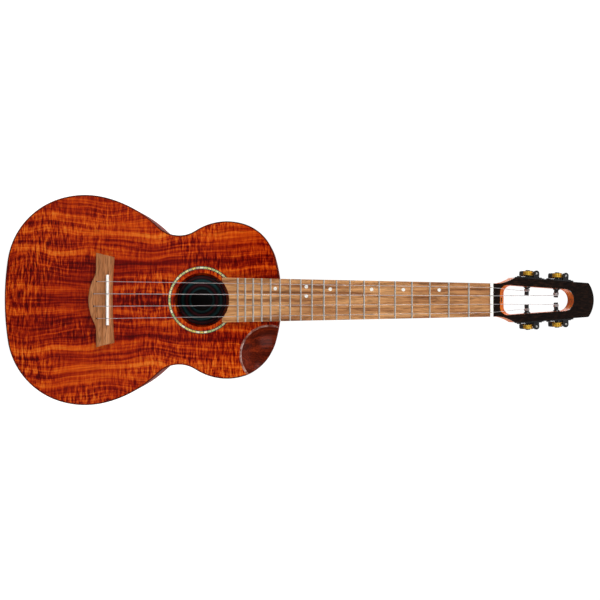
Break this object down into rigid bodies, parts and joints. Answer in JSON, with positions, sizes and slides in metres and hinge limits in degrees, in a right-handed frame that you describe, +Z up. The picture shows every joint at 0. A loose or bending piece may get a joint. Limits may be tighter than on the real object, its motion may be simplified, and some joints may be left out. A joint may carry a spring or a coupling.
{
  "type": "tenor ukulele",
  "caption": "Tenor ukulele with an hourglass body, round soundhole, arm scoop, string-through bridge, slotted headstock and geared side tuners that turn.",
  "frame": {"origin": "bottom of the tail, on the centreline, halfway through the whole depth", "axes": "+Z up the neck, -Y the way the soundboard faces, +X the treble side with the arm scoop"},
  "size_m": [0.2404, 0.0866, 0.6831],
  "materials": {
    "koa_top": "figured koa under a clear gloss finish",
    "koa_back": "striped koa under a clear gloss finish",
    "koa_side": "striped koa under a clear gloss finish",
    "lining_wood": "bare sanded mahogany and lime",
    "rosewood": "dark rosewood under gloss",
    "spruce": "bare spruce",
    "abalone": "abalone shell inlay, polished",
    "walnut": "oiled, satin",
    "bone": "polished bone",
    "purfling": "pale shell line",
    "mahogany": "satin finish",
    "ebony": "polished black",
    "stripe_wood": "satin",
    "steel": "machined",
    "fret_wire": "polished nickel silver",
    "pearl": "mother of pearl",
    "label_paper": "printed paper without words",
    "string": "clear fluorocarbon",
    "black_metal": "black plated, satin",
    "black_button": "black, polished",
    "gear_brass": "cut brass"
  },
  "bodies": {
    "instrument": {"soundboard": "koa_top", "back_bass": "koa_back", "back_treble": "koa_back", "side_bass": "koa_side", "side_treble": "koa_side", "top_lining": "lining_wood", "back_lining": "lining_wood", "top_binding": "rosewood", "back_binding": "rosewood", "neck_block": "lining_wood", "tail_block": "lining_wood", "top_braces": "spruce", "back_braces": "spruce", "bridge_plate": "rosewood", "rosette": "abalone", "bridge": "walnut", "saddle": "bone", "scoop_panel": "rosewood", "scoop_purfling": "purfling", "scoop_block": "lining_wood", "neck": "mahogany", "headstock_faceplate": "ebony", "heel_cap": "rosewood", "neck_stripe": "stripe_wood", "truss_rod": "steel", "fretboard": "walnut", "frets": "fret_wire", "nut": "bone", "fret_markers": "pearl", "neck_bolt": "steel", "label": "label_paper", "string_1": "string", "string_2": "string", "string_3": "string", "string_4": "string", "tuner_collars": "black_metal", "tuner_screws": "black_metal", "tuner_1_plate": "black_metal", "tuner_2_plate": "black_metal", "tuner_3_plate": "black_metal", "tuner_4_plate": "black_metal"},
    "key_1": {"tuner_1_button": "black_button", "tuner_1_worm": "steel"},
    "roller_1": {"tuner_1_post": "black_metal", "tuner_1_gear": "gear_brass"},
    "key_2": {"tuner_2_button": "black_button", "tuner_2_worm": "steel"},
    "roller_2": {"tuner_2_post": "black_metal", "tuner_2_gear": "gear_brass"},
    "key_3": {"tuner_3_button": "black_button", "tuner_3_worm": "steel"},
    "roller_3": {"tuner_3_post": "black_metal", "tuner_3_gear": "gear_brass"},
    "key_4": {"tuner_4_button": "black_button", "tuner_4_worm": "steel"},
    "roller_4": {"tuner_4_post": "black_metal", "tuner_4_gear": "gear_brass"},
    "truss_rod_nut": {"truss_rod_nut": "steel"}
  },
  "joints": [
    {"name": "key_1_turn", "type": "hinge", "parent": "instrument", "child": "key_1", "pos_m": [0.03063, -0.01486, 0.60948], "axis": [0, -0.9703, 0.2419], "continuous": true},
    {"name": "roller_1_turn", "type": "hinge", "parent": "instrument", "child": "roller_1", "pos_m": [0.02449, -0.01676, 0.60183], "axis": [0.9982, 0.0145, 0.0581], "continuous": true},
    {"name": "key_2_turn", "type": "hinge", "parent": "instrument", "child": "key_2", "pos_m": [0.02835, -0.00569, 0.64625], "axis": [0, -0.9703, 0.2419], "continuous": true},
    {"name": "roller_2_turn", "type": "hinge", "parent": "instrument", "child": "roller_2", "pos_m": [0.02221, -0.00759, 0.63861], "axis": [0.9982, 0.0145, 0.0581], "continuous": true},
    {"name": "key_3_turn", "type": "hinge", "parent": "instrument", "child": "key_3", "pos_m": [-0.02835, -0.00569, 0.64625], "axis": [0, -0.9703, 0.2419], "continuous": true},
    {"name": "roller_3_turn", "type": "hinge", "parent": "instrument", "child": "roller_3", "pos_m": [-0.02221, -0.00759, 0.63861], "axis": [-0.9982, 0.0145, 0.0581], "continuous": true},
    {"name": "key_4_turn", "type": "hinge", "parent": "instrument", "child": "key_4", "pos_m": [-0.03063, -0.01486, 0.60948], "axis": [0, -0.9703, 0.2419], "continuous": true},
    {"name": "roller_4_turn", "type": "hinge", "parent": "instrument", "child": "roller_4", "pos_m": [-0.02449, -0.01676, 0.60183], "axis": [-0.9982, 0.0145, 0.0581], "continuous": true},
    {"name": "truss_rod_nut_turn", "type": "hinge", "parent": "instrument", "child": "truss_rod_nut", "pos_m": [0, -0.02769, 0.545], "axis": [0, 0, 1], "range_deg": [-180, 180]}
  ],
  "couplings": [
    {"joint": "roller_1_turn", "follows": "key_1_turn", "ratio": -0.071429},
    {"joint": "roller_2_turn", "follows": "key_2_turn", "ratio": -0.071429},
    {"joint": "roller_3_turn", "follows": "key_3_turn", "ratio": 0.071429},
    {"joint": "roller_4_turn", "follows": "key_4_turn", "ratio": 0.071429}
  ]
}
